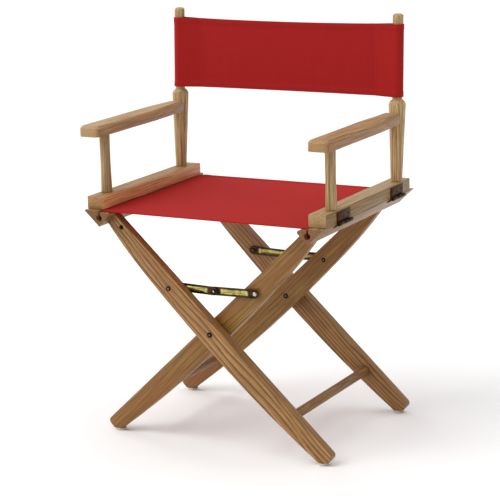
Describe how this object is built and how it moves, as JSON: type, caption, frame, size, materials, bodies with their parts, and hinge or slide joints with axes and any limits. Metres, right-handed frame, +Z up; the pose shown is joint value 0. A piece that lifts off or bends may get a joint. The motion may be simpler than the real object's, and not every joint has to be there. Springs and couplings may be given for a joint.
{
  "type": "folding director chair",
  "caption": "Folding director chair: crossed wooden leg frames, hinged wooden arms, red canvas seat and back, plated folding stays.",
  "frame": {"origin": "on the floor under the middle of the chair, at the centre of its bounding box", "axes": "+Z up, the sitter faces -Y, +X towards the right rail as drawn"},
  "size_m": [0.563, 0.438, 0.857],
  "materials": {
    "wood": "satin varnish",
    "canvas": "woven cotton duck",
    "zinc": "yellow passivated plate",
    "bronze": "dark bronze plate",
    "steel": "satin",
    "glide": "satin"
  },
  "bodies": {
    "pivots": {"pivot_rivet_front": "steel", "pivot_washer_front": "steel", "pivot_rivet_rear": "steel", "pivot_washer_rear": "steel"},
    "frame_a": {"outer_leg_front": "wood", "outer_glide_front": "glide", "barrel_nut_outer_front": "steel", "rail_stud_outer_front": "steel", "outer_leg_rear": "wood", "outer_glide_rear": "glide", "barrel_nut_outer_rear": "steel", "rail_stud_outer_rear": "steel", "outer_stretcher": "wood", "left_rail": "wood", "left_seat_rod": "wood", "stay_front_outer_bolt": "steel", "stay_rear_outer_bolt": "steel", "left_hinge_front_lower_leaf": "bronze", "left_hinge_rear_lower_leaf": "bronze", "seat_canvas": "canvas"},
    "frame_b": {"inner_leg_front": "wood", "inner_glide_front": "glide", "barrel_nut_inner_front": "steel", "rail_stud_inner_front": "steel", "inner_leg_rear": "wood", "inner_glide_rear": "glide", "barrel_nut_inner_rear": "steel", "rail_stud_inner_rear": "steel", "inner_stretcher": "wood", "right_rail": "wood", "right_seat_rod": "wood", "stay_front_inner_bolt": "steel", "stay_rear_inner_bolt": "steel", "right_hinge_front_lower_leaf": "bronze", "right_hinge_rear_lower_leaf": "bronze"},
    "arm_left": {"left_arm_block": "wood", "left_front_post": "wood", "left_back_post": "wood", "left_armrest": "wood", "left_hinge_front_upper_leaf": "bronze", "left_hinge_front_pin": "steel", "left_hinge_rear_upper_leaf": "bronze", "left_hinge_rear_pin": "steel", "back_canvas": "canvas"},
    "arm_right": {"right_arm_block": "wood", "right_front_post": "wood", "right_back_post": "wood", "right_armrest": "wood", "right_hinge_front_upper_leaf": "bronze", "right_hinge_front_pin": "steel", "right_hinge_rear_upper_leaf": "bronze", "right_hinge_rear_pin": "steel"},
    "link_front_a": {"stay_front_outer_link": "zinc", "stay_front_rivet_head": "steel"},
    "link_rear_a": {"stay_rear_outer_link": "zinc", "stay_rear_rivet_head": "steel"},
    "link_front_b": {"stay_front_inner_link": "zinc", "stay_front_rivet_tail": "steel"},
    "link_rear_b": {"stay_rear_inner_link": "zinc", "stay_rear_rivet_tail": "steel"}
  },
  "joints": [
    {"name": "fold", "type": "hinge", "parent": "pivots", "child": "frame_a", "pos_m": [0, 0, 0.2435], "axis": [0, 1, 0], "range_deg": [0, 40]},
    {"name": "fold_inner", "type": "hinge", "parent": "frame_a", "child": "frame_b", "pos_m": [0, 0, 0.2435], "axis": [0, -1, 0], "range_deg": [0, 80], "deforming": ["seat_canvas", "back_canvas"]},
    {"name": "arm_left_hinge", "type": "hinge", "parent": "frame_a", "child": "arm_left", "pos_m": [-0.2752, 0, 0.485], "axis": [0, -1, 0], "range_deg": [0, 40]},
    {"name": "arm_right_hinge", "type": "hinge", "parent": "frame_b", "child": "arm_right", "pos_m": [0.2752, 0, 0.485], "axis": [0, 1, 0], "range_deg": [0, 40]},
    {"name": "stay_front_outer", "type": "hinge", "parent": "frame_a", "child": "link_front_a", "pos_m": [-0.09252, -0.1695, 0.33137], "axis": [0, 1, 0], "range_deg": [0, 40]},
    {"name": "stay_front_inner", "type": "hinge", "parent": "frame_b", "child": "link_front_b", "pos_m": [0.09252, -0.1675, 0.33137], "axis": [0, -1, 0], "range_deg": [0, 40]},
    {"name": "stay_rear_outer", "type": "hinge", "parent": "frame_a", "child": "link_rear_a", "pos_m": [-0.09252, 0.1695, 0.33137], "axis": [0, 1, 0], "range_deg": [0, 40]},
    {"name": "stay_rear_inner", "type": "hinge", "parent": "frame_b", "child": "link_rear_b", "pos_m": [0.09252, 0.1675, 0.33137], "axis": [0, -1, 0], "range_deg": [0, 40]}
  ],
  "couplings": [
    {"joint": "fold_inner", "follows": "fold", "ratio": 2},
    {"joint": "arm_left_hinge", "follows": "fold", "ratio": 1},
    {"joint": "arm_right_hinge", "follows": "fold", "ratio": 1},
    {"joint": "stay_front_outer", "follows": "fold", "ratio": 0.9957},
    {"joint": "stay_front_inner", "follows": "fold", "ratio": 0.9957},
    {"joint": "stay_rear_outer", "follows": "fold", "ratio": 0.9957},
    {"joint": "stay_rear_inner", "follows": "fold", "ratio": 0.9957}
  ]
}
